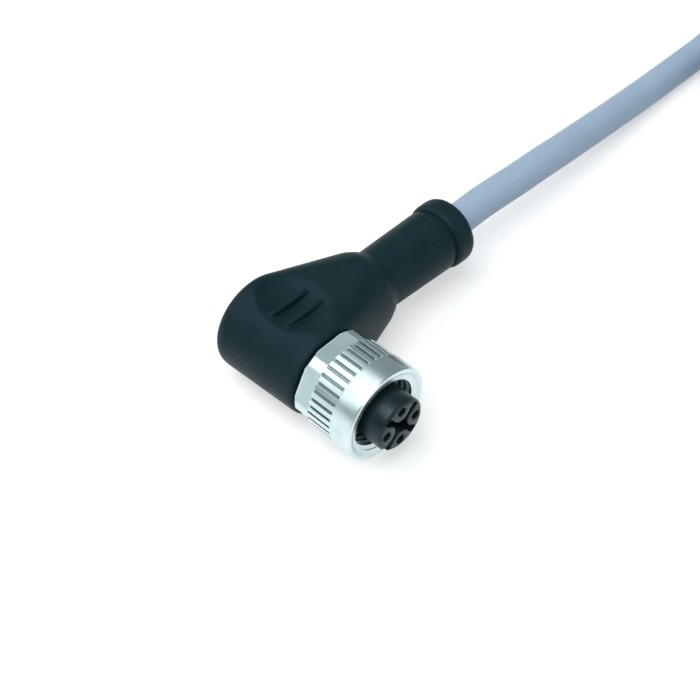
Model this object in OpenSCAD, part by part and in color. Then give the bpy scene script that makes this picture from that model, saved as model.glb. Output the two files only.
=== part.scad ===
// Right-angle M12 cable connector: four-pole socket insert, knurled coupling nut,
// moulded grip with strain relief, and a length of round cable folded away at its far end.
//
// Frame, in millimetres: the origin is the centre of the insert's mating face.
// -Y points out of the mating face, +X along the cable's exit, +Z up.
// The connector lies on its side, on the round head of the grip.

/* [Contact insert] */
// Diameter of the insert's barrel
barrel_d = 8.4; // [8.2:0.1:8.5]
// Length of the barrel from the mating face to the seal
barrel_l = 7.2; // [6.6:0.2:7.6]
// Chamfer round the mating face
barrel_chamfer = 0.35; // [0.2:0.05:0.45]
// Pitch circle of the four contacts
contact_pcd = 5.66; // [5.5:0.02:5.8]
// Diameter of the entry hole over each contact
entry_d = 1.45; // [1.3:0.05:1.5]
// Depth of a contact's mouth below the face
entry_depth = 0.7; // [0.5:0.1:0.9]
// Width of the coding keyway
keyway_w = 1.7; // [1.4:0.1:1.9]
// Depth of the keyway into the barrel
keyway_depth = 0.8; // [0.6:0.1:0.9]
// Length of the keyway along the barrel
keyway_l = 6.0; // [5:0.5:6.5]
// Width of the arms of the cross-shaped recess in the face
cross_w = 1.15; // [1:0.05:1.25]
// Depth of the cross-shaped recess
cross_depth = 2.0; // [1:0.25:2.5]
// Wall left between the recess's arms and the rim
cross_rim = 0.3; // [0.25:0.05:0.5]
// Radius of the round land kept round each contact
land_r = 1.6; // [1.4:0.05:1.65]
// Thickness of the flange that the coupling nut pulls on
flange_t = 1.8; // [1.6:0.1:2.2]
// Diameter of that flange
flange_d = 10.2; // [10:0.1:10.3]
// Diameter of the insert's neck, inside the coupling nut
neck_d = 8.5; // [8.3:0.1:8.6]
// How deep the insert is anchored in the grip
anchor_l = 2.6; // [2.4:0.1:3]

/* [Socket contacts] */
// Bore of a socket contact, for a 1 mm pin
socket_bore = 1.0; // [0.96:0.01:1.04]
// Outer diameter of a socket contact
contact_d = 1.6; // [1.56:0.01:1.64]
// Depth of the socket bore
socket_depth = 6.5; // [6:0.25:7]
// Width of the spring slit along the socket
slit_w = 0.2; // [0.15:0.05:0.25]
// Diameter of the contact's collar
collar_d = 2.1; // [2:0.05:2.2]
// Length of the contact's collar
collar_l = 1.2; // [1:0.1:1.4]
// Length of the crimp barrel behind the insert
crimp_l = 1.7; // [1.5:0.1:1.8]
// Diameter of the crimp barrel
crimp_d = 1.3; // [1.2:0.05:1.35]

/* [Seal] */
// Thickness of the seal ring's cord
seal_cs = 1.1; // [0.9:0.05:1.2]
// Depth of the groove that the seal ring sits in
seal_groove = 0.2; // [0.15:0.05:0.3]

/* [Coupling nut] */
// Distance of the nut's rim behind the insert's face
nut_setback = 2.8; // [2.4:0.1:3.2]
// Length of the coupling nut
nut_l = 10.7; // [10.3:0.1:11]
// Diameter of the smooth front band
band_d = 14.8; // [14.6:0.1:14.9]
// Length of the smooth front band
band_l = 3.7; // [3.4:0.1:4]
// Diameter over the knurled ridges
knurl_d = 14.6; // [14.4:0.1:14.7]
// Depth of the grooves between the ridges
groove_depth = 0.4; // [0.3:0.05:0.5]
// Number of ridges round the nut
ridges = 36; // [24:6:36]
// Share of a ridge's pitch that is groove, in percent
groove_share = 38; // [30:2:44]
// Size of the hexagon across its flats
hex_af = 13.3; // [13:0.1:13.6]
// Length of the hexagon
hex_l = 2.8; // [2.4:0.1:3]
// Turn of the nut on its axis, in degrees
nut_turn = 4; // [0:1:10]
// Minor diameter of the M12 x 1 thread
thread_minor_d = 10.92; // [10.85:0.01:11]
// Nominal diameter of the thread
thread_d = 12.0; // [11.9:0.05:12.1]
// Play of the nut between the insert's flange and its own shoulder
nut_play = 0.5; // [0.3:0.1:0.8]
// Clearance left between the nut and the moulded grip
nut_gap = 0.4; // [0.3:0.1:0.6]

/* [Moulded grip] */
// Diameter of the round head at its front lip
head_d1 = 14.6; // [14.4:0.1:14.8]
// Diameter of the round head at its back
head_d2 = 15.5; // [15.2:0.1:15.8]
// Distance from the head's front lip to the cable axis
head_front = 8.1; // [7.8:0.1:8.4]
// Distance from the cable axis to the head's back
head_back = 7.6; // [7.4:0.1:8]
// Rounding of the head's back edge
back_round = 1.6; // [1.2:0.1:2]
// Rounding of the head's front lip
lip_round = 0.45; // [0.3:0.05:0.6]
// Radius of the shoulder's round end, about the cable axis
shoulder_r = 6.3; // [6.1:0.1:6.5]
// Reach of the shoulder along the cable from the mating axis
shoulder_l = 16.6; // [16:0.2:17.2]
// Rounding of the shoulder's end
shoulder_round = 2.0; // [1.8:0.1:2.3]
// How far the shoulder's slope starts behind the head's lip
slope_start = 1.2; // [1:0.1:2]

/* [Grip dimple] */
// Radius of the dimple's outline
dimple_r = 5.4; // [5:0.1:5.7]
// Depth of the dimple below the top of the head
dimple_depth = 1.8; // [1.5:0.1:1.9]
// Offset of the dimple from the mating axis, towards the cable
dimple_x = 1.1; // [0.8:0.1:1.5]
// Length of the two ribs in the dimple
rib_l = 6.3; // [5.8:0.1:6.6]
// Distance between the two ribs
rib_pitch = 3.0; // [2.6:0.1:3.2]
// Radius of a rib
rib_r = 0.55; // [0.45:0.05:0.6]

/* [Strain relief] */
// Diameter of the relief where it leaves the shoulder
relief_d1 = 9.5; // [9.3:0.1:9.7]
// Diameter of the relief in front of its end ring
relief_d2 = 10.0; // [9.9:0.1:10.2]
// End of the relief along the cable, from the mating axis
relief_end = 34.4; // [33.6:0.2:35]
// Thickness of the end ring
ring_t = 3.8; // [3.4:0.1:4.2]
// Diameter of the end ring
ring_d = 10.7; // [10.6:0.1:11]
// Rounding of the end ring's outer edge
ring_round = 0.9; // [0.7:0.1:1]
// Width of the groove in front of the end ring
ring_groove = 0.35; // [0.3:0.05:0.5]

/* [Cable] */
// Outer diameter of the cable
cable_d = 5.2; // [5:0.1:5.3]
// Diameter of one insulated core
core_d = 1.3; // [1.2:0.02:1.32]
// Diameter of a core's conductor
conductor_d = 0.75; // [0.7:0.01:0.8]
// Radius of the circle that the four cores lie on
core_ring_r = 0.95; // [0.94:0.01:1]
// Start of the cable's jacket inside the grip, from the mating axis
jacket_start = 8.0; // [7.6:0.1:8.4]
// Bend radius of the two outer cores inside the grip
core_bend = 1.9; // [1.8:0.05:1.9]

/* [Inner mould] */
// Diameter of the inner mould round the contacts' tails
inner_d = 9.6; // [9.4:0.1:9.8]
// Back of the inner mould behind the cable axis
inner_back = 3.8; // [3.6:0.1:4.2]
// Diameter of the inner mould's arm round the cable's end
arm_d = 7.6; // [7.2:0.1:7.8]
// Reach of the arm along the cable
arm_l = 12.5; // [12:0.5:13.5]

/* [Folded cable] */
// Bend radius of the inner turns at the folds
fold_r = 15.6; // [15.6:0.2:16]
// Layers of cable in the hank
layers = 5; // [4:1:5]
// Thickness of the tie's strap
tie_t = 1.2; // [1:0.1:1.5]
// Width of the tie's strap
tie_w = 4.8; // [4:0.2:6]
// Length of a stripped core at the cable's end
tail_l = 33; // [30:1:34]
// Length of a core's bare tinned tip
tip_l = 6; // [4:1:8]

/* [Hidden] */
$fn = 64;

// Clearances
moulded = 0.03;        // between a piece and the plastic moulded round it
seated = 0.03;         // between a pressed or threaded-in piece and its seat
running = 0.35;        // radial gap between the turning nut and the insert's neck
over = 1;              // how far a cutting tool reaches past the face that it cuts
lap = 0.05;            // how far solids of one piece reach into each other

// Barb ring that anchors the insert in the grip: its setback from the grip's lip, height and length
barb_setback = 0.9;
barb_h = 0.6;
barb_l = 0.9;

// Stations along Y, from the mating face backwards
groove_w = seal_cs + 2 * seated;
flange_front = barrel_l + groove_w;
flange_back = flange_front + flange_t;
nut_back = nut_setback + nut_l;
shoulder_front = flange_back + nut_play;
mould_front = nut_back + nut_gap;
carrier_back = mould_front + anchor_l;
crimp_back = carrier_back + crimp_l;
cable_y = mould_front + head_front;
head_end = cable_y + head_back;
floor_z = -head_d2 / 2;
head_mid_r = (head_d1 + head_d2) / 4;

// Contacts 1 to 4 by their angle on the face, seen from the mating side
contact_angles = [180, 270, 0, 90];
keyway_angle = 225;
contact_r = contact_pcd / 2;
contact_length = crimp_back - entry_depth;

// Turned shapes lie along Y or along X, with their own z forwards
module along_y(y = 0) { translate([0, y, 0]) rotate([-90, 0, 0]) children(); }
module along_cable(x = 0) { translate([x, cable_y, 0]) rotate([0, 90, 0]) children(); }
module at_contact(i) {
    rotate([0, -contact_angles[i], 0]) translate([contact_r, 0, 0]) children();
}

// A bar with round edges at one or both ends, as a profile for turning
module rounded_profile(r, l, start_round, end_round) {
    difference() {
        union() {
            translate([0, start_round]) square([r, l - start_round - end_round]);
            square([r - start_round, l]);
            square([r - end_round, l]);
            translate([r - start_round, start_round]) circle(start_round);
            translate([r - end_round, l - end_round]) circle(end_round);
        }
        translate([-r, -l]) square([r, 3 * l]);
        translate([0, l]) square([2 * r, l]);
        if (start_round > end_round) translate([r - end_round, -l]) square([r, l + start_round / 2]);
    }
}

// ---------------------------------------------------------------- contact insert

module face_recess() {
    difference() {
        union() {
            intersection() {
                for (a = [45, 135]) rotate(a) square([barrel_d, cross_w], center = true);
                circle(barrel_d / 2 - cross_rim);
            }
            circle(contact_r / 2 + cross_w / 2);
        }
        for (a = contact_angles) rotate(a) translate([contact_r, 0]) circle(land_r);
    }
}

module carrier_body() {
    rotate_extrude() {
        difference() {
            square([barrel_d / 2, barrel_l]);
            translate([barrel_d / 2 - barrel_chamfer, 0])
                polygon([[0, 0], [barrel_chamfer, barrel_chamfer], [over, 0], [0, -over]]);
        }
        translate([0, barrel_l - over]) square([barrel_d / 2 - seal_groove, groove_w + 2 * over]);
        translate([0, flange_front]) square([flange_d / 2, flange_t]);
        translate([0, flange_back - over]) square([neck_d / 2, carrier_back - flange_back + over]);
        translate([0, mould_front + barb_setback]) square([neck_d / 2 + barb_h, barb_l]);
    }
}

module contact_carrier() color([0.07, 0.08, 0.09]) difference() {
    along_y() carrier_body();
    for (i = [0:3]) at_contact(i) {
        along_y(-over) cylinder(d = entry_d, h = over + carrier_back);
        along_y(entry_depth - seated) cylinder(d = contact_d + 2 * seated, h = carrier_back);
        along_y(carrier_back - collar_l - seated)
            cylinder(d = collar_d + 2 * seated, h = collar_l + over);
    }
    rotate([0, -keyway_angle, 0])
        translate([barrel_d / 2 - keyway_depth, -over, -keyway_w / 2])
            cube([keyway_depth + over, keyway_l + over, keyway_w]);
    translate([0, cross_depth, 0]) rotate([90, 0, 0])
        linear_extrude(cross_depth + over) face_recess();
}

module seal_ring() color([0.05, 0.05, 0.05])
    along_y(barrel_l + groove_w / 2)
        rotate_extrude()
            translate([barrel_d / 2 - seal_groove + seated + seal_cs / 2, 0]) circle(d = seal_cs);

// A turned socket: spring sleeve with one slit, collar, and crimp barrel for the core
module socket_contact(i) color([0.85, 0.68, 0.32]) at_contact(i) difference() {
    along_y(entry_depth) union() {
        cylinder(d = contact_d, h = carrier_back - entry_depth);
        translate([0, 0, carrier_back - entry_depth - collar_l]) cylinder(d = collar_d, h = collar_l);
        cylinder(d = crimp_d, h = contact_length);
    }
    along_y(entry_depth - over) cylinder(d = socket_bore, h = over + socket_depth);
    along_y(crimp_back - crimp_l) cylinder(d = conductor_d + 2 * seated, h = crimp_l + over);
    translate([0, entry_depth - over, -slit_w / 2])
        cube([contact_d, over + socket_depth - contact_d, slit_w]);
}

module contact_1() socket_contact(0);
module contact_2() socket_contact(1);
module contact_3() socket_contact(2);
module contact_4() socket_contact(3);

// ---------------------------------------------------------------- coupling nut

// Toothed outline of the knurl: one groove and one land per ridge
module knurl_outline() {
    crest = knurl_d / 2;
    root = crest - groove_depth;
    pitch = 360 / ridges;
    half_groove = pitch * groove_share / 200;
    polygon([
        for (i = [0:ridges - 1], step = [
            [crest, half_groove * 1.5 - pitch / 2], [crest, pitch / 2 - half_groove * 1.5],
            [root, pitch / 2 - half_groove * 0.6], [root, pitch / 2 + half_groove * 0.6],
        ]) step[0] * [cos(i * pitch + step[1]), sin(i * pitch + step[1])]
    ]);
}

module nut_outside() {
    edge = 0.3;
    rotate_extrude() polygon([
        [0, 0], [band_d / 2 - edge, 0], [band_d / 2, edge],
        [band_d / 2, band_l - edge], [band_d / 2 - edge, band_l], [0, band_l],
    ]);
    translate([0, 0, band_l - over]) linear_extrude(nut_l - hex_l - band_l + over) knurl_outline();
    intersection() {
        translate([0, 0, nut_l - hex_l - over])
            cylinder(r = hex_af / 2 / cos(30), h = hex_l + over, $fn = 6);
        rotate_extrude() polygon([
            [0, 0], [knurl_d / 2 - groove_depth, 0], [knurl_d / 2 - groove_depth, nut_l - hex_l],
            [knurl_d / 2 - lap, nut_l - hex_l], [knurl_d / 2 - lap, nut_l - edge],
            [knurl_d / 2 - edge, nut_l], [0, nut_l],
        ]);
    }
}

module nut_inside() {
    rim_bore = thread_d / 2 + 0.35;
    lead_in = rim_bore - thread_minor_d / 2;
    relief_w = 1.0;
    thread_l = shoulder_front - nut_setback;
    rotate_extrude() {
        polygon([[0, -over], [rim_bore + over, -over], [thread_minor_d / 2, lead_in], [0, lead_in]]);
        square([thread_minor_d / 2, thread_l]);
        translate([0, thread_l - relief_w]) square([thread_d / 2 + 0.1, relief_w]);
        square([neck_d / 2 + running, nut_l + over]);
    }
}

module coupling_nut() color([0.78, 0.8, 0.82])
    along_y(nut_setback) rotate([0, 0, -nut_turn]) difference() {
        nut_outside();
        nut_inside();
    }

// ---------------------------------------------------------------- moulded grip

// Turned head, a little wider at its back
module head() along_y(mould_front) rotate_extrude() {
    front_r = head_d1 / 2;
    back_r = head_d2 / 2;
    l = head_end - mould_front;
    polygon([
        [0, 0], [front_r - lip_round, 0], [front_r, lip_round],
        [back_r, l - back_round], [back_r - back_round, l], [0, l],
    ]);
    translate([front_r - lip_round, lip_round]) circle(lip_round);
    translate([back_r - back_round, l - back_round]) circle(back_round);
}

// The shoulder runs from the head's sides to a round end about the cable axis
module shoulder() {
    inset = 0.05;
    hull() {
        translate([0, mould_front + slope_start, 0]) rotate([-90, 0, 0])
            cylinder(r1 = head_d1 / 2 - inset, r2 = head_d2 / 2 - inset,
                     h = head_end - back_round - mould_front - slope_start, $fn = 72);
        along_cable(shoulder_l - shoulder_round)
            rotate_extrude($fn = 64) intersection() {
                translate([shoulder_r - shoulder_round, 0]) circle(shoulder_round, $fn = 32);
                square([shoulder_r, shoulder_round]);
            }
    }
}

// Tapered sleeve, a thin groove and the end ring, turned about the cable axis
module strain_relief() {
    start = shoulder_l - shoulder_round - over;
    ring_start = relief_end - ring_t;
    root_h = 0.9;
    along_cable() rotate_extrude() {
        polygon([
            [0, start], [relief_d1 / 2, start], [relief_d1 / 2, shoulder_l],
            [relief_d2 / 2, ring_start - ring_groove], [relief_d2 / 2 - ring_groove, ring_start - ring_groove],
            [relief_d2 / 2 - ring_groove, ring_start + over], [0, ring_start + over],
        ]);
        difference() {
            translate([0, shoulder_l - over]) square([relief_d1 / 2 + root_h, root_h + over]);
            translate([relief_d1 / 2 + root_h, shoulder_l + root_h]) circle(root_h);
        }
        translate([0, ring_start]) rounded_profile(ring_d / 2, ring_t, 0.2, ring_round);
    }
}

// Sphere that sinks the dimple into the top of the head
dimple_sphere_r = (pow(dimple_r, 2) + pow(dimple_depth, 2)) / (2 * dimple_depth);
dimple_floor = head_mid_r - dimple_depth;

module dimple()
    translate([dimple_x, cable_y, dimple_floor + dimple_sphere_r]) sphere(dimple_sphere_r, $fn = 96);

module grip_ribs() {
    crest_above_floor = 0.75;
    for (side = [-1, 1])
        translate([dimple_x, cable_y + side * rib_pitch / 2, dimple_floor + crest_above_floor - rib_r])
            rotate([0, 90, 0]) {
                cylinder(r = rib_r, h = rib_l - 2 * rib_r, center = true);
                for (end = [-1, 1]) translate([0, 0, end * (rib_l / 2 - rib_r)]) sphere(rib_r);
            }
}

module carrier_seat() along_y() rotate_extrude() {
    translate([0, mould_front - over]) square([neck_d / 2 + moulded, carrier_back - mould_front + over]);
    translate([0, mould_front + barb_setback - moulded])
        square([neck_d / 2 + barb_h + moulded, barb_l + 2 * moulded]);
}

module overmould() color([0.09, 0.1, 0.11]) difference() {
    union() {
        difference() {
            union() {
                head();
                shoulder();
                strain_relief();
            }
            for (up = [0, 1]) mirror([0, 0, up]) dimple();
        }
        for (up = [0, 1]) mirror([0, 0, up]) grip_ribs();
    }
    carrier_seat();
    inner_outline(moulded);
    along_cable(jacket_start) cylinder(r = cable_d / 2 + moulded, h = relief_end);
}

// ---------------------------------------------------------------- inner mould and cores

// Hard plastic block that holds the crimps and the end of the jacket, grown by a gap
module inner_outline(gap) {
    along_y(carrier_back) cylinder(r = inner_d / 2 + gap, h = cable_y + inner_back - carrier_back + gap);
    along_cable() cylinder(r = arm_d / 2 + gap, h = arm_l + gap);
}

core_colours = [[0.36, 0.2, 0.1], [0.9, 0.9, 0.88], [0.12, 0.3, 0.62], [0.06, 0.06, 0.07]];
core_start = crimp_back + 0.1;
core_lead = 0.4;                        // how far the first core runs straight before its bend
core_straight = jacket_start - 0.5;     // where the cores are in their places in the cable

// Offsets of the four cores inside the cable: towards the back, down, towards the front, up
core_y = [core_ring_r, 0, -core_ring_r, 0];
core_z = [0, -core_ring_r, 0, core_ring_r];

// Core i inside the connector: straight back from its crimp, round a bend, then in to its place
// in the cable
function core_points(i, from_y, past = 0) =
    let (x = contact_r * cos(contact_angles[i]), z = contact_r * sin(contact_angles[i]),
         end_y = cable_y + core_y[i], r = i == 0 ? end_y - core_start - core_lead : core_bend)
    concat(
        [[x, from_y, z]],
        [for (a = [0:15:90]) [x + r * (1 - cos(a)), end_y - r * (1 - sin(a)), z]],
        [for (t = [0.2:0.2:1])
            [x + r + t * (core_straight - x - r), end_y, z + t * t * (3 - 2 * t) * (core_z[i] - z)]],
        [[jacket_start + past, end_y, core_z[i]]]
    );

module core_route(i, d, from_y) tube(core_points(i, from_y), d, 12);

module inner_mould() color([0.16, 0.17, 0.18]) difference() {
    inner_outline(0);
    for (i = [0:3]) tube(core_points(i, carrier_back - over, over), core_d + 2 * moulded, 12);
    along_cable(jacket_start) cylinder(r = cable_d / 2 + moulded, h = arm_l);
}

// ---------------------------------------------------------------- cable

function unit(v) = v / norm(v);
function tangent(p, i) = unit(p[min(i + 1, len(p) - 1)] - p[max(i - 1, 0)]);
function ring(c, t, r, sides) =
    let (u = unit(cross([0, 0, 1], t)), v = cross(t, u))
    [for (k = [0:sides - 1]) c + r * (cos(360 * k / sides) * u + sin(360 * k / sides) * v)];

// Closed tube of diameter d swept along the points p
module tube(p, d, sides) {
    n = len(p);
    rings = [for (i = [0:n - 1]) each ring(p[i], tangent(p, i), d / 2, sides)];
    polyhedron(rings, concat(
        [[for (k = [0:sides - 1]) k]],
        [for (i = [0:n - 2], k = [0:sides - 1]) let (a = i * sides + k, b = i * sides + (k + 1) % sides)
            each [[a, a + sides, b + sides], [a, b + sides, b]]],
        [[for (k = [sides - 1:-1:0]) (n - 1) * sides + k]]
    ));
}

// The hank: folded runs beside each other in layers, in line with the cable's exit
hank_in = 112;                  // where the cable enters the hank's outline
hank_x = [122, 166];            // centres of its two round ends
lane_y = 26.5;                  // the outer run, which the cable comes in on
end_lane = lane_y - cable_d;    // the inner run, which it ends on
hank_y = lane_y - fold_r - cable_d;
hank_r = fold_r + 1.5 * cable_d;
hank_floor = floor_z + tie_t + seated;
hank_top = hank_floor + layers * cable_d;
jacket_end = 140;               // where the cable's jacket ends, on the top layer's inner run
tie_x = 133;

// The run from the grip to the hank: level out of the relief, down to the floor and along it.
// Each row is x, how far it has moved sideways, and how far down it has come.
cable_run = [
    [36, 0.25, 0], [41, 0.45, 0], [46, 0.45, -0.15], [51, 0.5, -0.5], [57, 0.75, -1.0],
    [62, 1.0, -1.6], [68, 1.4, -2.35], [74, 1.8, -3.1], [80, 2.25, -3.85], [86, 2.65, -4.5],
    [92, 3.0, -4.95], [98, 3.25, -5.1], [103, 3.8, -4.8], [106, 4.25, -4.3],
];
run_points = concat(
    [for (x = [jacket_start, 14, 20, 26, 31]) [x, cable_y, 0]],
    [for (p = cable_run) [p[0], cable_y + p[1], p[2]]],
    [for (x = [hank_in - 3, hank_in]) [x, lane_y, hank_floor + cable_d / 2]]
);

module cable_jacket() color([0.5, 0.56, 0.65]) tube(run_points, cable_d, 10);

module hank_outline(r) {
    translate([hank_x[0], hank_y - r]) square([hank_x[1] - hank_x[0], 2 * r]);
    for (x = hank_x) translate([x, hank_y]) circle(r);
}

// The turns lie side by side round an open middle. The lowest layer has one lane at the end
// where the cable comes in. The top layer holds the outer turn and the first part of the inner
// run, on which the jacket ends.
module cable_hank() color([0.5, 0.56, 0.65]) {
    translate([0, 0, hank_floor]) linear_extrude(cable_d + lap) difference() {
        hank_outline(hank_r);
        hank_outline(hank_r - 2 * cable_d);
        difference() {
            translate([hank_x[0] - 2 * hank_r, hank_y - 2 * hank_r]) square([2 * hank_r, 4 * hank_r]);
            hank_outline(hank_r - cable_d);
        }
    }
    translate([0, 0, hank_floor + cable_d]) linear_extrude((layers - 2) * cable_d) difference() {
        hank_outline(hank_r);
        hank_outline(hank_r - 2 * cable_d);
    }
    translate([0, 0, hank_top - cable_d - over]) linear_extrude(cable_d + over) {
        difference() {
            hank_outline(hank_r);
            hank_outline(hank_r - cable_d);
        }
        translate([hank_x[0], end_lane - cable_d / 2])
            square([jacket_end - hank_x[0], cable_d + lap]);
    }
    translate([hank_in, lane_y - cable_d / 2, hank_floor]) cube([hank_x[0] - hank_in, cable_d, cable_d]);
}

// Strap round the middle of the hank, with its locking head on top
module cable_tie() color([0.1, 0.1, 0.1]) {
    gap = seated;
    head = [6.5, 6, 3.4];
    low = [hank_y - hank_r - gap, hank_floor - gap];
    size = [2 * (hank_r + gap), layers * cable_d + 2 * gap];
    translate([tie_x - tie_w / 2, 0, 0]) rotate([90, 0, 90]) linear_extrude(tie_w) difference() {
        translate(low - [tie_t, tie_t]) square(size + 2 * [tie_t, tie_t]);
        translate(low) square(size);
        for (corner = [0, 1]) translate([low[0] - tie_t, corner == 0 ? low[1] - tie_t : low[1] + size[1] + tie_t])
            rotate(45) square(tie_t, center = true);
    }
    translate([tie_x - head[0] / 2, hank_y - hank_r / 2, low[1] + size[1] + tie_t]) cube(head);
}

// Stripped cores from the jacket's end: two over two, then spread out side by side on the hank
tip_d = 0.85;                   // a tinned tip
core_side = [1, -1, -1, 1];
core_low = [false, false, true, true];
core_half = 0.67;               // from the middle of the four to each of them
core_drop = 10;                 // how far along they come down onto the turns below
core_spread = 0.75;             // how far the lower pair moves apart
core_stack = 1.36;              // how far the upper pair lies above the lower pair
core_settle = 0.2;              // how far the upper pair sinks as the lower pair opens
core_drift = 0.001;             // how fast they drift inwards
function tail_point(i, s) =
    let (t = min(1, s / core_drop), a = 90 * max(0, s - core_drop) / (tail_l - core_drop),
         bed = hank_top - cable_d + core_d / 2 + seated)
    [jacket_end + s,
     end_lane - core_drift * s * s
         + core_side[i] * (core_half + (core_low[i] ? core_spread : seated) * sin(a)),
     (1 - t) * (hank_top - cable_d / 2 + (core_low[i] ? -core_half : core_half))
         + t * (bed + (core_low[i] ? 0 : core_stack - core_settle * sin(a)))];
tail_steps = [0, 3, 7, 12, 16, 20, 24, 28];

module tail(i, d, from_s, to_s) {
    inner = [for (s = tail_steps) if (s > from_s + 1 && s < to_s - 1) s];
    tube([for (s = concat([from_s], inner, [to_s])) tail_point(i, s)], d, 8);
}

module wire(i) color(core_colours[i]) {
    difference() {
        core_route(i, core_d, core_start);
        core_route(i, conductor_d + 2 * seated, core_start - over);
    }
    tail(i, core_d, 0, tail_l - tip_l);
}

module conductor(i) color([0.8, 0.5, 0.3]) {
    core_route(i, conductor_d, crimp_back - crimp_l + seated);
    tail(i, tip_d, tail_l - tip_l, tail_l);
}

module wire_brown() wire(0);
module wire_white() wire(1);
module wire_blue() wire(2);
module wire_black() wire(3);
module conductor_brown() conductor(0);
module conductor_white() conductor(1);
module conductor_blue() conductor(2);
module conductor_black() conductor(3);

overmould();
inner_mould();
contact_carrier();
seal_ring();
coupling_nut();
contact_1();
contact_2();
contact_3();
contact_4();
wire_brown();
wire_white();
wire_blue();
wire_black();
conductor_brown();
conductor_white();
conductor_blue();
conductor_black();
cable_jacket();
cable_hank();
cable_tie();
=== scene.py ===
"""Dresses the right-angle M12 socket connector: grip, coupling nut, insert, contacts and folded cable.

Meshes are shaped in millimetres on the bench and brought to metres when they are finished. The origin is
the middle of the insert's face. The mating side points along -Y, the cable leaves along +X, and +Z is up.
"""

import logging
import math
from dataclasses import dataclass, field
from enum import Enum
from typing import Callable, Optional, Sequence, Union

import bmesh
import bpy
from mathutils import Matrix, Vector


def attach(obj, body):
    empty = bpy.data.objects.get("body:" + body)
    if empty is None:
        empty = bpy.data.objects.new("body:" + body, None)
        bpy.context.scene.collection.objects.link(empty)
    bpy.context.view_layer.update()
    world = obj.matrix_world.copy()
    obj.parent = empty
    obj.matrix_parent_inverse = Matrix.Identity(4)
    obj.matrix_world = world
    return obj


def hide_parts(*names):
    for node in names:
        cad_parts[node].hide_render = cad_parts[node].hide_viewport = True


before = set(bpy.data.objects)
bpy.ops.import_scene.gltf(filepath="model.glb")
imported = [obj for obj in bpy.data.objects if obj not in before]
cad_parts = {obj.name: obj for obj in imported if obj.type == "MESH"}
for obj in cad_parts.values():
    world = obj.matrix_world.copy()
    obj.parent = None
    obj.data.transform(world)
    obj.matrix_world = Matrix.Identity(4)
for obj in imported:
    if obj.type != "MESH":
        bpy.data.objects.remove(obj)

Piece = bpy.types.Object
Node = bpy.types.Node
Socket = bpy.types.NodeSocket
Point = tuple[float, float, float]
Station = tuple[float, float]  # a place along an axis, and the radius there
Turn = tuple[float, float]  # the radius of a turn of the hank, and its height
Colour = tuple[float, float, float]
Source = Union[Socket, float, Colour]
Inputs = dict[Union[str, int], Source]

log = logging.getLogger("connector")
NODES: dict[str, Piece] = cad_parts

MM = 0.001
CABLE_Y = 22.0  # the cable's axis, behind the insert's face
RELIEF_END = 34.4  # where the cable leaves the grip
GROUND = -7.75  # the surface that the connector and its cable lie on
CONTACT_RING = 2.83  # the radius of the circle that the contacts stand on
CONTACT_WAYS = ((-1, 0), (0, -1), (1, 0), (0, 1))  # each contact's direction from the mating axis, in x and z


class Body(Enum):
    """The two bodies of the connector that move against each other."""

    CONNECTOR = "connector"
    NUT = "nut"


class Shaping(Enum):
    """The ways in which one solid shapes another."""

    CUT = "DIFFERENCE"
    ADD = "UNION"
    TRIM = "INTERSECT"


class Pick(Enum):
    """What is picked in an open mesh."""

    POINTS = "VERT"
    EDGES = "EDGE"
    FACES = "FACE"


class Axis(Enum):
    """The two axes that turned shapes lie along."""

    MATING = "y"
    CABLE = "x"

    @property
    def turn(self) -> Point:
        """The turn that lays an upright shape along the axis."""
        return (0, math.pi / 2, 0) if self is Axis.CABLE else (math.pi / 2, 0, 0)

    def move(self, distance: float) -> Vector:
        """A move along the axis."""
        return Vector((distance, 0, 0) if self is Axis.CABLE else (0, distance, 0))

    def widen(self, factor: float) -> Point:
        """A scale that widens a ring about the axis."""
        return (1, factor, factor) if self is Axis.CABLE else (factor, 1, factor)


# ---------------------------------------------------------------- the bench


def eased(share: float) -> float:
    """A share from 0 to 1 that starts and ends gently."""
    share = min(1.0, max(0.0, share))
    return share * share * (3 - 2 * share)


def rounded(start: Station, stop: Station, steps: int, along: bool) -> list[Station]:
    """Rounds a corner of an outline with a quarter of an ellipse.

    Args:
        start: The station where the corner starts.
        stop: The station where it ends.
        steps: How many facets it has.
        along: Whether it leaves its start along the axis, and not straight in or out.

    Returns:
        The corner's stations, with both ends.
    """
    (x0, r0), (x1, r1) = start, stop
    corner = []
    for k in range(steps + 1):
        angle = math.pi / 2 * k / steps
        fast, slow = math.sin(angle), 1 - math.cos(angle)
        forwards, outwards = (fast, slow) if along else (slow, fast)
        corner.append((x0 + (x1 - x0) * forwards, r0 + (r1 - r0) * outwards))
    return corner


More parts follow.
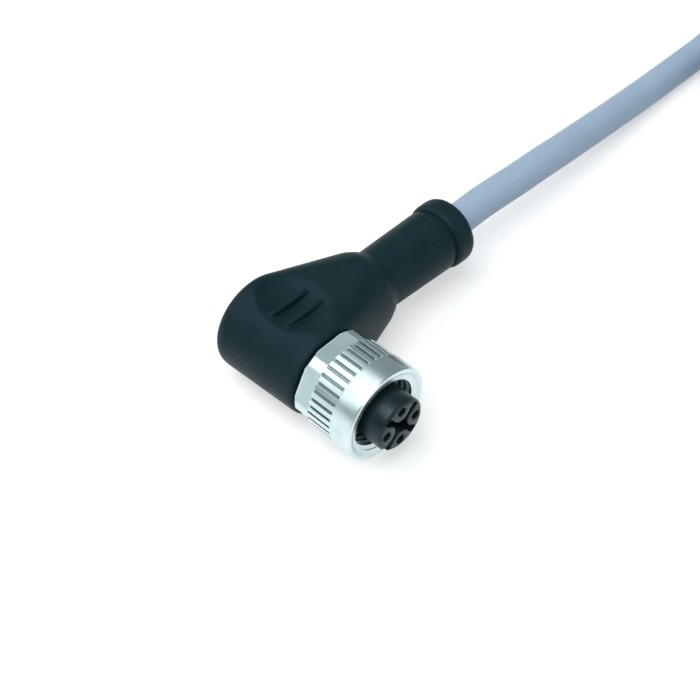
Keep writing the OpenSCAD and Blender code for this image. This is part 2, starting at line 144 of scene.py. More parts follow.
class Bench:
    """Small moves of the modelling bench, so that each piece reads as a list of steps."""

    @staticmethod
    def clear() -> None:
        """Leaves edit mode and deselects everything."""
        if bpy.context.object and bpy.context.object.mode != "OBJECT":
            bpy.ops.object.mode_set(mode="OBJECT")
        bpy.ops.object.select_all(action="DESELECT")

    @staticmethod
    def pick(piece: Piece) -> None:
        """Makes one piece the only selected and active one.

        Args:
            piece: The piece.
        """
        Bench.clear()
        piece.select_set(True)
        bpy.context.view_layer.objects.active = piece

    @staticmethod
    def freeze() -> None:
        """Moves the selected pieces' place, turn and scale into their meshes."""
        bpy.ops.object.transform_apply(location=True, rotation=True, scale=True)

    @staticmethod
    def adopt(name: str) -> Piece:
        """Names the object that the last operator made and freezes its place into its mesh.

        Args:
            name: The new object's name.

        Returns:
            The object.
        """
        piece = bpy.context.object
        piece.name = name
        piece.data.name = name
        Bench.freeze()
        return piece

    @staticmethod
    def block(name: str, low: Point, high: Point) -> Piece:
        """Adds a box between two corners.

        Args:
            name: The box's name.
            low: Its lowest corner.
            high: Its highest corner.

        Returns:
            The box.
        """
        Bench.clear()
        centre = [(a + b) / 2 for a, b in zip(low, high)]
        bpy.ops.mesh.primitive_cube_add(size=1, location=centre)
        bpy.context.object.scale = [b - a for a, b in zip(low, high)]
        return Bench.adopt(name)

    @staticmethod
    def pin(name: str, start: Point, radius: float, length: float, sides: int) -> Piece:
        """Adds a closed cylinder along the mating axis.

        Args:
            name: The cylinder's name.
            start: The centre of its first end.
            radius: Its radius.
            length: Its length.
            sides: How many sides it has.

        Returns:
            The cylinder.
        """
        Bench.clear()
        centre = Vector(start) + Axis.MATING.move(length / 2)
        bpy.ops.mesh.primitive_cylinder_add(
            vertices=sides, radius=radius, depth=length, location=centre, rotation=Axis.MATING.turn)
        return Bench.adopt(name)

    @staticmethod
    def sweep(name: str, routes: Sequence[Sequence[Point]], diameter: float, roundness: int) -> Piece:
        """Makes a round curve along routes.

        Args:
            name: The curve's name.
            routes: The points of each spline, in millimetres.
            diameter: The curve's thickness in millimetres.
            roundness: How finely its section is rounded.

        Returns:
            The curve, in metres.
        """
        data = bpy.data.curves.new(name, "CURVE")
        data.dimensions = "3D"
        data.bevel_depth = diameter / 2 * MM
        data.bevel_resolution = roundness
        data.resolution_u = 6
        data.use_fill_caps = True
        for route in routes:
            spline = data.splines.new("BEZIER")
            spline.bezier_points.add(len(route) - 1)
            for knot, place in zip(spline.bezier_points, route):
                knot.co = Vector(place) * MM
                knot.handle_left_type = "AUTO"
                knot.handle_right_type = "AUTO"
        curve = bpy.data.objects.new(name, data)
        bpy.context.scene.collection.objects.link(curve)
        return curve

    @staticmethod
    def enter(piece: Piece, pick: Pick) -> None:
        """Opens a piece's mesh for editing.

        Args:
            piece: The piece.
            pick: What is picked in it.
        """
        Bench.pick(piece)
        bpy.ops.object.mode_set(mode="EDIT")
        bpy.ops.mesh.select_mode(type=pick.value)

    @staticmethod
    def leave() -> None:
        """Turns the picked faces outwards and leaves the mesh."""
        bpy.ops.mesh.normals_make_consistent(inside=False)
        bpy.ops.object.mode_set(mode="OBJECT")

    @staticmethod
    def pick_faces(piece: Piece, test: Callable[[Vector], bool]) -> None:
        """Picks faces of an open mesh by their place.

        Args:
            piece: The piece, which is open for faces.
            test: Says from a face's centre whether it is picked.
        """
        mesh = bmesh.from_edit_mesh(piece.data)
        for face in mesh.faces:
            face.select_set(False)
        for face in mesh.faces:
            if test(face.calc_center_median()):
                face.select_set(True)
        bmesh.update_edit_mesh(piece.data)

    @staticmethod
    def pick_edges(piece: Piece, test: Callable[[Vector, Vector, float], bool]) -> None:
        """Picks edges of an open mesh by their place and by how much their faces turn.

        Args:
            piece: The piece, which is open for edges.
            test: Says from an edge's two ends and the turn in degrees whether it is picked.
        """
        mesh = bmesh.from_edit_mesh(piece.data)
        for edge in mesh.edges:
            edge.select_set(False)
        for edge in mesh.edges:
            start, end = (point.co for point in edge.verts)
            if test(start, end, math.degrees(edge.calc_face_angle(0.0))):
                edge.select_set(True)
        bmesh.update_edit_mesh(piece.data)

    @staticmethod
    def apply(piece: Piece) -> None:
        """Applies a piece's modifiers in order.

        Args:
            piece: The piece.
        """
        Bench.pick(piece)
        for modifier in list(piece.modifiers):
            bpy.ops.object.modifier_apply(modifier=modifier.name)

    @staticmethod
    def swing(piece: Piece, degrees: float, slide: float = 0.0) -> None:
        """Turns a piece about the mating axis, slides it along, and freezes its new place.

        Args:
            piece: The piece.
            degrees: How far it turns.
            slide: How far it slides.
        """
        piece.rotation_euler.y = math.radians(degrees)
        piece.location.y = slide
        Bench.pick(piece)
        Bench.freeze()

    @staticmethod
    def combine(piece: Piece, tool: Piece, shaping: Shaping) -> None:
        """Shapes a piece with another solid and takes that solid away.

        Args:
            piece: The piece that is shaped.
            tool: The other solid.
            shaping: What it does to the piece.
        """
        cut = piece.modifiers.new("cut", "BOOLEAN")
        cut.object = tool
        cut.operation = shaping.value
        cut.solver = "MANIFOLD"
        Bench.apply(piece)
        bpy.data.objects.remove(tool)

    @staticmethod
    def join(pieces: Sequence[Piece], name: str) -> Piece:
        """Joins several meshes into the first one.

        Args:
            pieces: The meshes.
            name: The joined mesh's name.

        Returns:
            The joined mesh.
        """
        Bench.clear()
        for piece in pieces:
            piece.select_set(True)
        bpy.context.view_layer.objects.active = pieces[0]
        bpy.ops.object.join()
        pieces[0].name = name
        return pieces[0]

    @staticmethod
    def fuse(piece: Piece, voxel: float, passes: int) -> None:
        """Melts overlapping solids into one skin and eases its corners.

        Args:
            piece: The piece.
            voxel: The size of the skin's facets, in millimetres.
            passes: How many times its corners are eased.
        """
        skin = piece.modifiers.new("skin", "REMESH")
        skin.mode = "VOXEL"
        skin.voxel_size = voxel
        ease = piece.modifiers.new("ease", "SMOOTH")
        ease.factor = 0.5
        ease.iterations = passes
        Bench.apply(piece)

    @staticmethod
    def break_edges(piece: Piece, width: float, segments: int) -> None:
        """Rounds every edge that turns by more than 50 degrees.

        Args:
            piece: The piece.
            width: How wide the rounding is.
            segments: How many facets it has.
        """
        edges = piece.modifiers.new("edges", "BEVEL")
        edges.width = width
        edges.segments = segments
        edges.limit_method = "ANGLE"
        edges.angle_limit = math.radians(50)
        Bench.apply(piece)

    @staticmethod
    def to_metres(piece: Piece, smooth_angle: float) -> None:
        """Brings a finished piece from millimetres to metres and shades it.

        Args:
            piece: The piece.
            smooth_angle: Edges up to this angle in degrees are shaded smooth.
        """
        Bench.pick(piece)
        piece.scale = (MM, MM, MM)
        Bench.freeze()
        bpy.ops.object.shade_smooth_by_angle(angle=math.radians(smooth_angle))


@dataclass
class Lathe:
    """Turns an outline about an axis. A station is a place along the axis and the radius there."""

    axis: Axis
    sides: int = 96
    centre: Point = (0.0, 0.0, 0.0)

    def turn(self, name: str, stations: Sequence[Station], ring: bool = False) -> Piece:
        """Makes a turned piece.

        Args:
            name: The piece's name.
            stations: Its outline.
            ring: Whether the outline closes on itself round an open middle.

        Returns:
            The piece.
        """
        Bench.clear()
        centre = Vector(self.centre)
        here, radius = stations[0]
        start = centre + self.axis.move(here)
        bpy.ops.mesh.primitive_circle_add(
            vertices=self.sides, radius=radius, location=start, rotation=self.axis.turn)
        piece = Bench.adopt(name)
        Bench.enter(piece, Pick.POINTS)
        bpy.ops.mesh.select_all(action="SELECT")
        for there, wide in [*stations[1:], *stations[:1 if ring else 0]]:
            step = self.axis.move(there - here)
            bpy.ops.mesh.extrude_region_move(TRANSFORM_OT_translate={"value": step})
            bpy.ops.transform.resize(
                value=self.axis.widen(wide / radius), center_override=centre + self.axis.move(there))
            here, radius = there, wide
        bpy.ops.mesh.select_all(action="SELECT")
        if ring:
            bpy.ops.mesh.remove_doubles(threshold=1e-5)
        else:
            bpy.ops.mesh.fill_holes(sides=0)
        Bench.leave()
        return piece


# ---------------------------------------------------------------- finishes


class Shader:
    """Short ways to put nodes into a node tree."""

    MIX_RESULT, MIX_FIRST, MIX_SECOND = 2, 6, 7  # the colour sockets of a Mix node

    def __init__(self, tree: bpy.types.NodeTree) -> None:
        """Keeps the tree that the nodes go into."""
        self.tree = tree

    def fill(self, node: Node, inputs: Inputs) -> None:
        """Gives a node's sockets their values.

        Args:
            node: The node.
            inputs: What each socket gets, by its name or number: another socket, a number or a colour.
        """
        for key, value in inputs.items():
            socket = node.inputs[key]
            if isinstance(value, Socket):
                self.tree.links.new(value, socket)
            elif socket.type == "RGBA":
                socket.default_value = (*value, 1.0)
            else:
                socket.default_value = value

    def node(self, kind: str, inputs: Optional[Inputs] = None, **settings: object) -> Node:
        """Adds a node, sets it and gives its sockets their values.

        Args:
            kind: The node's type.
            inputs: What each socket gets, as in fill.
            settings: The node's own properties.

        Returns:
            The node.
        """
        made = self.tree.nodes.new(kind)
        for key, value in settings.items():
            setattr(made, key, value)
        self.fill(made, inputs or {})
        return made

    def reckon(self, operation: str, *values: Source) -> Socket:
        """The result of an operation on numbers that change over the surface."""
        return self.node("ShaderNodeMath", dict(enumerate(values)), operation=operation).outputs[0]

    def noise(self, place: Socket, scale: Source, detail: float) -> Socket:
        """A noise with a scale in waves per metre and a number of octaves."""
        inputs = {"Vector": place, "Scale": scale, "Detail": detail}
        return self.node("ShaderNodeTexNoise", inputs).outputs["Fac"]

    def ramp(self, value: Socket, low: float, high: float) -> Socket:
        """A value's range from low to high, mapped onto 0 to 1."""
        inputs = {"Value": value, "From Min": low, "From Max": high, "To Min": 0.0, "To Max": 1.0}
        return self.node("ShaderNodeMapRange", inputs).outputs["Result"]

    def blend(self, mask: Socket, first: Source, second: Source) -> Socket:
        """Two colours, mixed by a mask that is 0 for the first and 1 for the second."""
        inputs = {"Factor": mask, self.MIX_FIRST: first, self.MIX_SECOND: second}
        return self.node("ShaderNodeMix", inputs, data_type="RGBA").outputs[self.MIX_RESULT]


def surface_group() -> bpy.types.NodeTree:
    """Builds the shared group that gives a colour, a roughness and a height from grain and soft mottling.

    Returns:
        The node group.
    """
    group = bpy.data.node_groups.new("moulded_surface", "ShaderNodeTree")
    vector, colour, number = "NodeSocketVector", "NodeSocketColor", "NodeSocketFloat"
    for name, kind in (("Vector", vector), ("Base", colour), ("Worn", colour), ("Grain scale", number),
                       ("Mottle scale", number), ("Roughness", number), ("Variation", number)):
        group.interface.new_socket(name, in_out="INPUT", socket_type=kind)
    for name, kind in (("Color", colour), ("Roughness", number), ("Height", number)):
        group.interface.new_socket(name, in_out="OUTPUT", socket_type=kind)
    shader = Shader(group)
    given = shader.node("NodeGroupInput").outputs
    grain = shader.noise(given["Vector"], given["Grain scale"], 2.0)
    mottle = shader.noise(given["Vector"], given["Mottle scale"], 4.0)
    cloud = shader.ramp(mottle, 0.35, 0.7)
    shader.node("NodeGroupOutput", {
        "Color": shader.blend(cloud, given["Base"], given["Worn"]),
        "Roughness": shader.reckon("MULTIPLY_ADD", cloud, given["Variation"], given["Roughness"]),
        "Height": grain,
    })
    return group


def new_material(name: str) -> tuple[bpy.types.Material, Shader, Node]:
    """Makes a material.

    Args:
        name: The material's name.

    Returns:
        The material, the means to add to its nodes, and its Principled BSDF.
    """
    material = bpy.data.materials.new(name)
    material.use_nodes = True
    return material, Shader(material.node_tree), material.node_tree.nodes["Principled BSDF"]


@dataclass(frozen=True)
class Moulded:
    """A moulded plastic or rubber: a base colour that drifts a little, and a fine grain."""

    name: str
    base: Colour
    worn: Colour
    roughness: float = 0.5
    variation: float = 0.08
    grain: float = 9000.0
    mottle: float = 220.0
    bump: float = 0.25
    depth: float = 0.00002
    specular: float = 0.4
    gloss_tint: Colour = (1.0, 1.0, 1.0)

    def make(self, group: bpy.types.NodeTree) -> bpy.types.Material:
        """Builds the material.

        Args:
            group: The shared surface group.

        Returns:
            The material.
        """
        material, shader, skin = new_material(self.name)
        surface = shader.node("ShaderNodeGroup", {
            "Vector": shader.node("ShaderNodeTexCoord").outputs["Object"],
            "Base": self.base, "Worn": self.worn, "Grain scale": self.grain, "Mottle scale": self.mottle,
            "Roughness": self.roughness, "Variation": self.variation,
        }, node_tree=group).outputs
        bump = shader.node("ShaderNodeBump", {
            "Strength": self.bump, "Distance": self.depth, "Height": surface["Height"],
        })
        shader.fill(skin, {
            "Base Color": surface["Color"], "Roughness": surface["Roughness"],
            "Normal": bump.outputs["Normal"], "Specular IOR Level": self.specular,
            "Specular Tint": self.gloss_tint,
        })
        return material


@dataclass(frozen=True)
class ShadeAndTone:
    """A darker colour where a turned piece is cut below a radius, between two stations of its axis: painted
    shade on the floors of the knurl's grooves, and a darker colour on the flats.
    """

    low: float  # the radius up to which the tone is full
    high: float  # the radius from which it is gone
    start: float
    stop: float
    colour: Colour
    blur: float = 0.02

    def mask(self, shader: Shader, place: Socket) -> Socket:
        """Tells the sunk faces from the rest.

        Args:
            shader: The material's nodes.
            place: The object's coordinates.

        Returns:
            A mask, which is 0 on the sunk faces.
        """
        parts = shader.node("ShaderNodeSeparateXYZ", {0: place}).outputs
        flat = shader.node("ShaderNodeCombineXYZ", {"X": parts["X"], "Y": parts["Z"]}).outputs[0]
        reach = shader.node("ShaderNodeVectorMath", {0: flat}, operation="LENGTH").outputs["Value"]
        raised = shader.ramp(reach, self.low * MM, self.high * MM)
        before = shader.ramp(parts["Y"], (self.start + self.blur) * MM, (self.start - self.blur) * MM)
        behind = shader.ramp(parts["Y"], (self.stop - self.blur) * MM, (self.stop + self.blur) * MM)
        return shader.reckon("MAXIMUM", raised, shader.reckon("MAXIMUM", before, behind))


@dataclass(frozen=True)
class Plated:
    """A turned and plated metal: bright, with fine tool marks round its axis."""

    name: str
    base: Colour
    dull: Colour
    roughness: float = 0.22
    shades_and_tones: tuple[ShadeAndTone, ...] = ()
    marks: float = 5200.0
    marks_stretch: Point = (0.08, 1.0, 0.08)
    depth: float = 0.000004

    def make(self, group: bpy.types.NodeTree) -> bpy.types.Material:
        """Builds the material.

        Args:
            group: The shared surface group.

        Returns:
            The material.
        """
        material, shader, metal = new_material(self.name)
        place = shader.node("ShaderNodeTexCoord").outputs["Object"]
        surface = shader.node("ShaderNodeGroup", {
            "Vector": place, "Base": self.base, "Worn": self.dull, "Grain scale": 3000.0,
            "Mottle scale": 350.0, "Roughness": self.roughness, "Variation": 0.1,
        }, node_tree=group).outputs
        stretched = shader.node("ShaderNodeMapping", {"Vector": place, "Scale": self.marks_stretch})
        bump = shader.node("ShaderNodeBump", {
            "Strength": 0.5, "Distance": self.depth,
            "Height": shader.noise(stretched.outputs["Vector"], self.marks, 2.0),
        })
        colour = surface["Color"]
        # lays the painted shade on the knurl's groove floors, and the darker flats, over the metal's colour
        for shade in self.shades_and_tones:
            colour = shader.blend(shade.mask(shader, place), shade.colour, colour)
        shader.fill(metal, {
            "Base Color": colour, "Roughness": surface["Roughness"], "Normal": bump.outputs["Normal"],
            "Metallic": 1.0,
        })
        return material


@dataclass(frozen=True)
class Paper:
    """The floor's matt paper, which looks lighter than it is to the camera and in reflections."""

    name: str = "paper"
    base: Colour = (0.56, 0.563, 0.566)
    roughness: float = 0.9
    specular: float = 0.1
    lift: float = 0.5

    def make(self) -> bpy.types.Material:
        """Builds the material.

        Returns:
            The material.
        """
        material, shader, skin = new_material(self.name)
        shader.fill(skin, {
            "Base Color": self.base, "Roughness": self.roughness, "Specular IOR Level": self.specular,
        })
        path = shader.node("ShaderNodeLightPath").outputs
        seen = shader.reckon("MAXIMUM", path["Is Camera Ray"], path["Is Glossy Ray"])
        glow = shader.node("ShaderNodeEmission", {"Strength": shader.reckon("MULTIPLY", seen, self.lift)})
        both = shader.node("ShaderNodeAddShader", {0: skin.outputs[0], 1: glow.outputs[0]})
        shader.fill(material.node_tree.nodes["Material Output"], {"Surface": both.outputs[0]})
        return material


class Finish(Enum):
    """Every finish on the connector."""

    GRIP = Moulded(
        "grip", (0.0055, 0.018, 0.0235), (0.0095, 0.0235, 0.0295), roughness=0.44, variation=0.1, grain=7000,
        mottle=180, bump=0.35, depth=0.00003, specular=0.14, gloss_tint=(0.5, 0.9, 1.0))
    INNER = Moulded("inner_plastic", (0.06, 0.065, 0.07), (0.08, 0.085, 0.09))
    INSERT = Moulded(
        "insert", (0.006, 0.013, 0.016), (0.012, 0.021, 0.026), roughness=0.32, mottle=400, bump=0.2,
        depth=0.00001, gloss_tint=(0.6, 0.92, 1.0))
    SEAL = Moulded("seal", (0.012, 0.012, 0.012), (0.02, 0.02, 0.02), roughness=0.35)
    NICKEL = Plated("nickel", (0.71, 0.815, 0.83), (0.62, 0.735, 0.75), roughness=0.28, shades_and_tones=(
        ShadeAndTone(6.96, 7.2, 6.5, 10.64, (0.22, 0.275, 0.285)),  # painted shade on the floors of the knurl's grooves
        ShadeAndTone(7.16, 7.26, 10.64, 13.24, (0.52, 0.665, 0.675)),  # the milled flats
    ))
    GOLD = Plated("contact_gold", (0.95, 0.80, 0.52), (0.85, 0.68, 0.40), roughness=0.2)
    TIN = Plated("copper", (0.72, 0.70, 0.67), (0.60, 0.58, 0.55), roughness=0.35)
    JACKET = Moulded(
        "jacket", (0.31, 0.41, 0.525), (0.33, 0.43, 0.545), roughness=0.42, variation=0.06, grain=3500,
        mottle=120, bump=0.15, depth=0.00001, specular=0.25)
    BROWN = Moulded("core_brown", (0.15, 0.06, 0.03), (0.17, 0.07, 0.035), roughness=0.35)
    WHITE = Moulded("core_white", (0.80, 0.80, 0.77), (0.84, 0.84, 0.82), roughness=0.35)
    BLUE = Moulded("core_blue", (0.02, 0.08, 0.35), (0.03, 0.1, 0.4), roughness=0.35)
    BLACK = Moulded("core_black", (0.015, 0.015, 0.016), (0.025, 0.025, 0.026), roughness=0.35)
    TIE = Moulded("tie", (0.02, 0.02, 0.021), (0.03, 0.03, 0.032), roughness=0.4)


CORE_FINISHES = {"brown": Finish.BROWN, "white": Finish.WHITE, "blue": Finish.BLUE, "black": Finish.BLACK}


class Palette:
    """Makes each finish once and lays it on pieces."""

    def __init__(self) -> None:
        """Builds the shared group."""
        self.group = surface_group()
        self.made: dict[Finish, bpy.types.Material] = {}

    def lay(self, piece: Piece, finish: Finish) -> None:
        """Gives a piece its finish.

        Args:
            piece: The piece, new or from the frame.
            finish: Its finish.
        """
        if finish not in self.made:
            self.made[finish] = finish.value.make(self.group)
        piece.data.materials.clear()
        piece.data.materials.append(self.made[finish])

    def lay_on_frame(self) -> None:
        """Lays finishes on the frame's own solids."""
        looks = {
            "inner_mould": Finish.INNER, "seal_ring": Finish.SEAL, "overmould": Finish.GRIP,
            "coupling_nut": Finish.NICKEL, "contact_carrier": Finish.INSERT, "cable_tie": Finish.TIE,
            "cable_jacket": Finish.JACKET, "cable_hank": Finish.JACKET,
        }
        for number, (core, finish) in enumerate(CORE_FINISHES.items(), start=1):
            looks[f"contact_{number}"] = Finish.GOLD
            looks[f"wire_{core}"] = finish
            looks[f"conductor_{core}"] = Finish.TIN
        for name, node in NODES.items():
            self.lay(node, looks[name])


def present(piece: Piece, palette: Palette, finish: Finish, body: Body, *replaced: str) -> None:
    """Dresses a finished new piece and sets it on its body.

    Args:
        piece: The piece.
        palette: The finishes.
        finish: The piece's finish.
        body: The body that it rides on.
        replaced: The frame's nodes that it stands for.
    """
    palette.lay(piece, finish)
    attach(piece, body.value)
    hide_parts(*replaced)


# ---------------------------------------------------------------- sub-assemblies


@dataclass
class Camera:
    """The camera: where it stands and which way it looks, in millimetres from the insert's face."""

    place: Point = (-103.79, -88.64, 160.67)
    right: Point = (0.7011, -0.7129, 0.0163)
    up: Point = (0.5131, 0.5203, 0.6826)
    back: Point = (-0.4951, -0.4702, 0.7306)
    focal_length: float = 79.95
    sensor_width: float = 36.0

    def set_up(self) -> None:
        """Makes the camera and the scene's camera of it."""
        data = bpy.data.cameras.new("camera")
        data.lens = self.focal_length
        data.sensor_width = self.sensor_width
        data.clip_start = 0.01
        camera = bpy.data.objects.new("camera", data)
        bpy.context.scene.collection.objects.link(camera)
        turn = Matrix((self.right, self.up, self.back)).transposed()
        camera.matrix_world = Matrix.Translation(Vector(self.place) * MM) @ turn.to_4x4()
        bpy.context.scene.camera = camera


@dataclass
class Cable:
    """The free cable: its run from the grip, its turns in the hank, and where its jacket ends."""

    diameter: float = 5.2
    axis_y: float = CABLE_Y
    start: float = 8.0  # inside the grip
    relief_end: float = RELIEF_END
    tie: float = 1.2  # the strap's thickness, which the hank lies on
    clearance: float = 0.03
    hank_ends: tuple[float, float] = (122.0, 166.0)  # the straight stretch between the hank's bows
    lane_y: float = 26.5  # the lane in which the cable comes in
    fold: float = 15.6  # the radius of the inner bows
    layers: int = 5
    jacket_end: float = 140.0
    run: Sequence[Point] = (  # x, and how far the cable is off its axis in y and z
        (36, 0.25, 0), (41, 0.45, 0), (46, 0.45, -0.15), (51, 0.5, -0.5), (57, 0.75, -1.0),
        (62, 1.0, -1.6), (68, 1.4, -2.35), (74, 1.8, -3.1), (80, 2.25, -3.85), (86, 2.65, -4.5),
        (92, 3.0, -4.95), (98, 3.2, -5.12), (103, 3.3, -5.14), (107, 3.42, -5.1), (111, 3.72, -4.86),
        (115, 4.12, -4.4), (119, 4.42, -4.02),
    )

    @property
    def outer(self) -> float:
        """The radius of the outer bows."""
        return self.fold + self.diameter

    @property
    def hank_y(self) -> float:
        """The hank's middle line."""
        return self.lane_y - self.outer

    @property
    def hank_floor(self) -> float:
        """The height that the hank's lowest turns lie on."""
        return GROUND + self.tie + self.clearance

    @property
    def hank_top(self) -> float:
        """The height of the hank's upper side."""
        return self.hank_floor + self.layers * self.diameter

    def lead(self) -> list[Point]:
        """Takes the cable from inside the grip to the hank.

        Returns:
            The points of that stretch.
        """
        inside = [(x, self.axis_y, 0.0) for x in (self.start, 14, 20, 26, 31)]
        outside = [(x, self.axis_y + side, down) for x, side, down in self.run]
        return inside + outside

    def lanes(self) -> list[Turn]:
        """Orders the turns of the hank from the ground up. Every second layer starts with its inner turn.

        Returns:
            The radius and the height of each turn.
        """
        lanes: list[Turn] = []
        for layer in range(self.layers):
            level = self.hank_floor + (layer + 0.5) * self.diameter
            pair = [(self.outer, level), (self.fold, level)]
            lanes += pair if layer % 2 == 0 else pair[::-1]
        return lanes

    def near_side(self, lane: Turn, stop: float, steps: int) -> list[Point]:
        """Runs straight along the side of the hank on which the cable comes in.

        Args:
            lane: The turn's radius and height.
            stop: Where the stretch ends.
            steps: How many points follow its first one.

        Returns:
            The points, with both ends.
        """
        radius, level = lane
        x0 = self.hank_ends[0]
        return [(x0 + (stop - x0) * i / steps, self.hank_y + radius, level) for i in range(steps + 1)]

    def bow(self, x: float, side: int, lane: Turn) -> list[Point]:
        """Bends half round at an end of the hank.

        Args:
            x: Where the bow's middle stands.
            side: 1 at the far end, -1 at the end near the grip.
            lane: The turn's radius and height.

        Returns:
            The points after the first one.
        """
        radius, level = lane
        points = []
        for i in range(1, 9):
            a = math.radians(22.5 * i)
            points.append((x + side * radius * math.sin(a), self.hank_y + side * radius * math.cos(a), level))
        return points

    def crossing(self, number: int, lane: Turn, after: Turn) -> list[Point]:
        """Comes back along the other side and moves over, or up, into the next turn's lane on the way.

        Args:
            number: Which turn this is. The later ones cross sooner.
            lane: The turn's radius and height.
            after: The next turn's radius and height.

        Returns:
            The points after the first one.
        """
        (radius, level), (next_radius, next_level) = lane, after
        x0, x1 = self.hank_ends
        start = 0.36 - 0.04 * number
        points = []
        for i in range(1, 9):
            share = i / 8
            sweep = eased((share - start) / 0.6) * math.pi / 2
            inwards = (next_radius - radius) * (1 - math.cos(sweep))
            upwards = (next_level - level) * math.sin(sweep)
            points.append((x1 - (x1 - x0) * share, self.hank_y - radius - inwards, level + upwards))
        return points

    def turns(self) -> list[Point]:
        """Folds the cable into the hank. The last turn ends on its first straight side.

        Returns:
            The points of the hank.
        """
        x0, x1 = self.hank_ends
        lanes = self.lanes()
        points = self.near_side(lanes[0], x1, 4)[:1]
        for number, (lane, after) in enumerate(zip(lanes, lanes[1:])):
            points += self.near_side(lane, x1, 4)[1:]
            points += self.bow(x1, 1, lane)
            points += self.crossing(number, lane, after)
            points += self.bow(x0, -1, after)
        return points + self.near_side(lanes[-1], self.jacket_end, 3)[1:]

    def build(self, palette: Palette) -> Piece:
        """Makes the jacket as one curve.

        Args:
            palette: The finishes.

        Returns:
            The jacket.
        """
        jacket = Bench.sweep("jacket", [self.lead() + self.turns()], self.diameter, roundness=7)
        present(jacket, palette, Finish.JACKET, Body.CONNECTOR, "cable_jacket", "cable_hank")
        return jacket


@dataclass
class CouplingNut:
    """The turning nut: a plain band, a straight knurl, six milled flats and an internal thread."""

    front: float = 2.8  # behind the insert's face
    length: float = 10.7
    edge: float = 0.3
    rim: float = 6.8
    band: float = 7.4
    band_end: float = 3.68
    crest: float = 7.3
    ridges: int = 36
    knurl: tuple[float, float] = (3.95, 7.9)
    groove_depth: float = 0.4
    groove_half: float = 2.0  # half a groove's width in degrees
    runout_depth: float = 0.2
    runout_half: float = 1.6
    ease: float = 0.05  # the rounding of the grooves' edges
    sharp: float = 42.0  # the least turn in degrees of an edge that is rounded
    across_flats: float = 13.3
    turn: float = -4.0
    minor: float = 5.46
    major: float = 6.15
    mouth: float = 6.24
    thread_pitch: float = 1.0
    thread_start: float = -0.9  # the ridge's middle, in front of the rim
    thread_end: float = 6.86
    thread_turns: int = 8
    thread_base: float = 0.76
    thread_crest: float = 0.16  # as a share of the base
    flange_room: float = 6.25
    flange_back: float = 7.86
    neck_bore: float = 4.6

    def blank(self) -> Piece:
        """Turns the blank with its plain bore.

        Returns:
            The blank.
        """
        end = self.length
        return Lathe(Axis.MATING, sides=self.ridges * 10).turn("coupling_nut_shell", [
            (0.0, self.rim),
            *rounded((0.0, self.band - 0.28), (self.edge, self.band), 2, along=False),
            *rounded((self.band_end - 0.28, self.band), (self.band_end, self.crest), 2, along=True),
            (self.knurl[0], self.crest), (self.knurl[1], self.crest), (end - self.edge, self.crest),
            (end, self.crest - self.edge), (end, self.neck_bore), (self.flange_back, self.neck_bore),
            (self.flange_back, self.flange_room), (self.thread_end, self.flange_room),
            (self.thread_end, self.minor), (0.42, self.minor), (0.34, self.mouth),
        ], ring=True)

    def knurled(self, nut: Piece) -> None:
        """Sinks the grooves of the knurl into the blank and eases their edges.

        Args:
            nut: The blank.
        """
        start, stop = self.knurl
        pitch = 360 / self.ridges

        def in_groove(centre: Vector, half_width: float) -> bool:
            """Tells whether a face of the blank lies in one of the grooves.

            Args:
                centre: The face's centre.
                half_width: Half the groove's width in degrees.

            Returns:
                Whether it does.
            """
            angle = math.degrees(math.atan2(centre.z, centre.x)) % pitch
            outside = math.hypot(centre.x, centre.z) > self.crest - 0.1
            return outside and abs(angle - pitch / 2) < half_width

        def on_groove(a: Vector, b: Vector, turn: float) -> bool:
            """Tells whether an edge bounds a groove's side, floor or end.

            Args:
                a: The edge's first end.
                b: Its second end.
                turn: The turn between its faces in degrees.

            Returns:
                Whether it does.
            """
            outside = min(math.hypot(a.x, a.z), math.hypot(b.x, b.z)) > self.crest - 2 * self.groove_depth
            within = self.band_end - 0.3 < min(a.y, b.y) and max(a.y, b.y) < stop + 0.1
            return outside and within and turn > self.sharp

        Bench.enter(nut, Pick.FACES)
        for low, high, half_width, depth in ((self.band_end, start, self.runout_half, self.runout_depth),
                                             (start, stop, self.groove_half, self.groove_depth)):
            Bench.pick_faces(nut, lambda centre: low < centre.y < high and in_groove(centre, half_width))
            bpy.ops.mesh.extrude_region_shrink_fatten(TRANSFORM_OT_shrink_fatten={"value": -depth})
        bpy.ops.mesh.select_mode(type=Pick.EDGES.value)
        Bench.pick_edges(nut, on_groove)
        bpy.ops.mesh.bevel(offset=self.ease, segments=2, affect="EDGES", clamp_overlap=True)
        bpy.ops.object.mode_set(mode="OBJECT")

    def threaded(self, nut: Piece) -> None:
        """Cuts the internal thread with a helical ridge, whose section starts as a square of 1 mm.

        Args:
            nut: The nut.
        """
        Bench.clear()
        middle = (self.minor + 0.2, self.thread_start, 0)
        outer = (middle[0] + 0.5, self.thread_start, 0)
        bpy.ops.mesh.primitive_plane_add(size=1, location=middle)
        ridge = Bench.adopt("thread")
        Bench.enter(ridge, Pick.EDGES)
        Bench.pick_edges(ridge, lambda a, b, turn: min(a.x, b.x) > middle[0])
        bpy.ops.transform.resize(value=(1, self.thread_crest, 1), center_override=outer)
        bpy.ops.transform.translate(value=(self.major - outer[0], 0, 0))
        bpy.ops.mesh.select_all(action="SELECT")
        bpy.ops.transform.resize(value=(1, self.thread_base, 1), center_override=middle)
        bpy.ops.mesh.delete(type="ONLY_FACE")
        bpy.ops.object.mode_set(mode="OBJECT")
        wind = ridge.modifiers.new("wind", "SCREW")
        wind.axis = "Y"
        wind.screw_offset = self.thread_pitch
        wind.iterations = self.thread_turns
        wind.steps = wind.render_steps = 72
        wind.use_merge_vertices = False
        Bench.apply(ridge)
        Bench.enter(ridge, Pick.POINTS)
        bpy.ops.mesh.select_all(action="SELECT")
        bpy.ops.mesh.fill_holes(sides=0)
        Bench.leave()
        Bench.combine(nut, ridge, Shaping.CUT)

